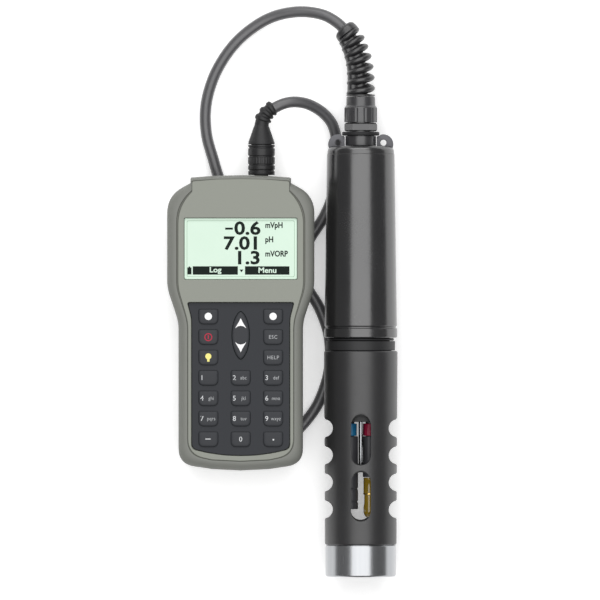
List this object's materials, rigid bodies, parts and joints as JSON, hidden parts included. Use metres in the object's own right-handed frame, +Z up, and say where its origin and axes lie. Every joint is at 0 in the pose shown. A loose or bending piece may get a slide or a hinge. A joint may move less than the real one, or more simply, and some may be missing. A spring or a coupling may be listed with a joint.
{
  "type": "water quality probe with handheld meter",
  "caption": "Submersible water quality probe with slotted guard, cabled to a handheld meter with display, keypad and lock-ring plug.",
  "frame": {"origin": "centre of the underside of the box round the meter and probe, cable left out, on the surface they lie on", "axes": "+Y along the probe and meter towards the cable end, +Z up out of the meter's keypad, +X from the meter to the probe"},
  "size_m": [0.1454, 0.3602, 0.0464],
  "materials": {
    "case_plastic": "fine-textured olive-grey moulding, satin sides",
    "black_plastic": "satin black moulding",
    "keypad_mat": "matt charcoal elastomer",
    "keys": "matt charcoal elastomer, white legends",
    "black_rubber": "matt black elastomer",
    "window": "clear acrylic window",
    "display": "pale green reflective liquid-crystal panel",
    "circuit_board": "green solder mask",
    "steel": "turned stainless steel",
    "plug_rubber": "moulded black elastomer",
    "cable_jacket": "smooth dark grey jacket",
    "gland_plastic": "moulded dark grey nylon",
    "lug_plastic": "moulded mid grey plastic",
    "sensor_plastic": "moulded dark grey sensor body",
    "blue_collar": "moulded blue plastic",
    "red_collar": "moulded crimson plastic",
    "amber_glass": "amber electrode glass",
    "battery": "plain printed sleeve"
  },
  "bodies": {
    "instrument": {"meter_front_shell": "case_plastic", "meter_back_shell": "case_plastic", "case_gasket": "black_rubber", "display_window": "window", "lcd_panel": "display", "main_circuit_board": "circuit_board", "keypad_mat": "keypad_mat", "battery_1": "battery", "battery_2": "battery", "battery_3": "battery", "battery_4": "battery", "battery_cover": "case_plastic", "battery_cover_gasket": "black_rubber", "case_screw_1": "steel", "case_screw_2": "steel", "case_screw_3": "steel", "case_screw_4": "steel", "probe_socket": "black_plastic", "usb_socket": "steel", "cable": "cable_jacket", "cable_boot": "plug_rubber", "gland_nut": "gland_plastic", "gland_body": "gland_plastic", "gland_washer": "black_rubber", "probe_end_cap": "lug_plastic", "probe_upper_housing": "black_plastic", "probe_circuit_board": "circuit_board", "probe_o_ring": "black_rubber", "sensor_head": "black_plastic", "temperature_probe": "steel"},
    "soft_key_left_cap": {"soft_key_left": "keys"},
    "soft_key_right_cap": {"soft_key_right": "keys"},
    "power_key_cap": {"power_key": "keys"},
    "escape_key_cap": {"escape_key": "keys"},
    "light_key_cap": {"light_key": "keys"},
    "help_key_cap": {"help_key": "keys"},
    "key_1_cap": {"key_1": "keys"},
    "key_2_cap": {"key_2": "keys"},
    "key_3_cap": {"key_3": "keys"},
    "key_4_cap": {"key_4": "keys"},
    "key_5_cap": {"key_5": "keys"},
    "key_6_cap": {"key_6": "keys"},
    "key_7_cap": {"key_7": "keys"},
    "key_8_cap": {"key_8": "keys"},
    "key_9_cap": {"key_9": "keys"},
    "key_minus_cap": {"key_minus": "keys"},
    "key_0_cap": {"key_0": "keys"},
    "key_point_cap": {"key_point": "keys"},
    "arrow_rocker": {"arrow_rocker_key": "keys"},
    "usb_cap": {"usb_port_cap": "black_rubber"},
    "plug": {"plug_body": "plug_rubber"},
    "lock_ring": {"plug_lock_ring": "black_plastic"},
    "guard_ring": {"guard_weight_ring": "steel"},
    "guard_sleeve": {"guard": "black_plastic"},
    "ec_probe": {"ec_sensor": "sensor_plastic", "ec_sensor_collar": "blue_collar"},
    "ph_probe": {"ph_sensor": "sensor_plastic", "ph_sensor_collar": "red_collar", "ph_glass_bulb": "amber_glass"}
  },
  "joints": [
    {"name": "soft_key_left_press", "type": "slide", "parent": "instrument", "child": "soft_key_left_cap", "axis": [0, 0, -1], "range_m": [0, 0.001], "stiffness_N_per_m": 900},
    {"name": "soft_key_right_press", "type": "slide", "parent": "instrument", "child": "soft_key_right_cap", "axis": [0, 0, -1], "range_m": [0, 0.001], "stiffness_N_per_m": 900},
    {"name": "power_key_press", "type": "slide", "parent": "instrument", "child": "power_key_cap", "axis": [0, 0, -1], "range_m": [0, 0.001], "stiffness_N_per_m": 900},
    {"name": "escape_key_press", "type": "slide", "parent": "instrument", "child": "escape_key_cap", "axis": [0, 0, -1], "range_m": [0, 0.001], "stiffness_N_per_m": 900},
    {"name": "light_key_press", "type": "slide", "parent": "instrument", "child": "light_key_cap", "axis": [0, 0, -1], "range_m": [0, 0.001], "stiffness_N_per_m": 900},
    {"name": "help_key_press", "type": "slide", "parent": "instrument", "child": "help_key_cap", "axis": [0, 0, -1], "range_m": [0, 0.001], "stiffness_N_per_m": 900},
    {"name": "key_1_press", "type": "slide", "parent": "instrument", "child": "key_1_cap", "axis": [0, 0, -1], "range_m": [0, 0.001], "stiffness_N_per_m": 900},
    {"name": "key_2_press", "type": "slide", "parent": "instrument", "child": "key_2_cap", "axis": [0, 0, -1], "range_m": [0, 0.001], "stiffness_N_per_m": 900},
    {"name": "key_3_press", "type": "slide", "parent": "instrument", "child": "key_3_cap", "axis": [0, 0, -1], "range_m": [0, 0.001], "stiffness_N_per_m": 900},
    {"name": "key_4_press", "type": "slide", "parent": "instrument", "child": "key_4_cap", "axis": [0, 0, -1], "range_m": [0, 0.001], "stiffness_N_per_m": 900},
    {"name": "key_5_press", "type": "slide", "parent": "instrument", "child": "key_5_cap", "axis": [0, 0, -1], "range_m": [0, 0.001], "stiffness_N_per_m": 900},
    {"name": "key_6_press", "type": "slide", "parent": "instrument", "child": "key_6_cap", "axis": [0, 0, -1], "range_m": [0, 0.001], "stiffness_N_per_m": 900},
    {"name": "key_7_press", "type": "slide", "parent": "instrument", "child": "key_7_cap", "axis": [0, 0, -1], "range_m": [0, 0.001], "stiffness_N_per_m": 900},
    {"name": "key_8_press", "type": "slide", "parent": "instrument", "child": "key_8_cap", "axis": [0, 0, -1], "range_m": [0, 0.001], "stiffness_N_per_m": 900},
    {"name": "key_9_press", "type": "slide", "parent": "instrument", "child": "key_9_cap", "axis": [0, 0, -1], "range_m": [0, 0.001], "stiffness_N_per_m": 900},
    {"name": "key_minus_press", "type": "slide", "parent": "instrument", "child": "key_minus_cap", "axis": [0, 0, -1], "range_m": [0, 0.001], "stiffness_N_per_m": 900},
    {"name": "key_0_press", "type": "slide", "parent": "instrument", "child": "key_0_cap", "axis": [0, 0, -1], "range_m": [0, 0.001], "stiffness_N_per_m": 900},
    {"name": "key_point_press", "type": "slide", "parent": "instrument", "child": "key_point_cap", "axis": [0, 0, -1], "range_m": [0, 0.001], "stiffness_N_per_m": 900},
    {"name": "arrow_rocker_tilt", "type": "hinge", "parent": "instrument", "child": "arrow_rocker", "pos_m": [-0.02625, 0.0125, 0.0389], "axis": [1, 0, 0], "range_deg": [-3, 3], "stiffness_Nm_per_rad": 0.6},
    {"name": "usb_cap_pull", "type": "slide", "parent": "instrument", "child": "usb_cap", "axis": [0, 1, 0], "range_m": [0, 0.012]},
    {"name": "plug_pull", "type": "slide", "parent": "instrument", "child": "plug", "axis": [0, 1, 0], "range_m": [0, 0.011], "deforming": ["cable"]},
    {"name": "lock_ring_turn", "type": "hinge", "parent": "plug", "child": "lock_ring", "pos_m": [-0.01325, 0.1234, 0.02], "axis": [0, 1, 0], "range_deg": [0, 60]},
    {"name": "guard_travel", "type": "slide", "parent": "instrument", "child": "guard_ring", "axis": [0, -1, 0], "range_m": [0, 0.009]},
    {"name": "guard_unscrew", "type": "hinge", "parent": "guard_ring", "child": "guard_sleeve", "pos_m": [0.04945, -0.06, 0.0232], "axis": [0, -1, 0], "range_deg": [0, 540]},
    {"name": "ec_sensor_pull", "type": "slide", "parent": "instrument", "child": "ec_probe", "axis": [0, -1, 0], "range_m": [0, 0.012]},
    {"name": "ph_sensor_pull", "type": "slide", "parent": "instrument", "child": "ph_probe", "axis": [0, -1, 0], "range_m": [0, 0.012]}
  ],
  "couplings": [
    {"joint": "guard_travel", "follows": "guard_unscrew", "m_per_rad": 0.00095493}
  ]
}
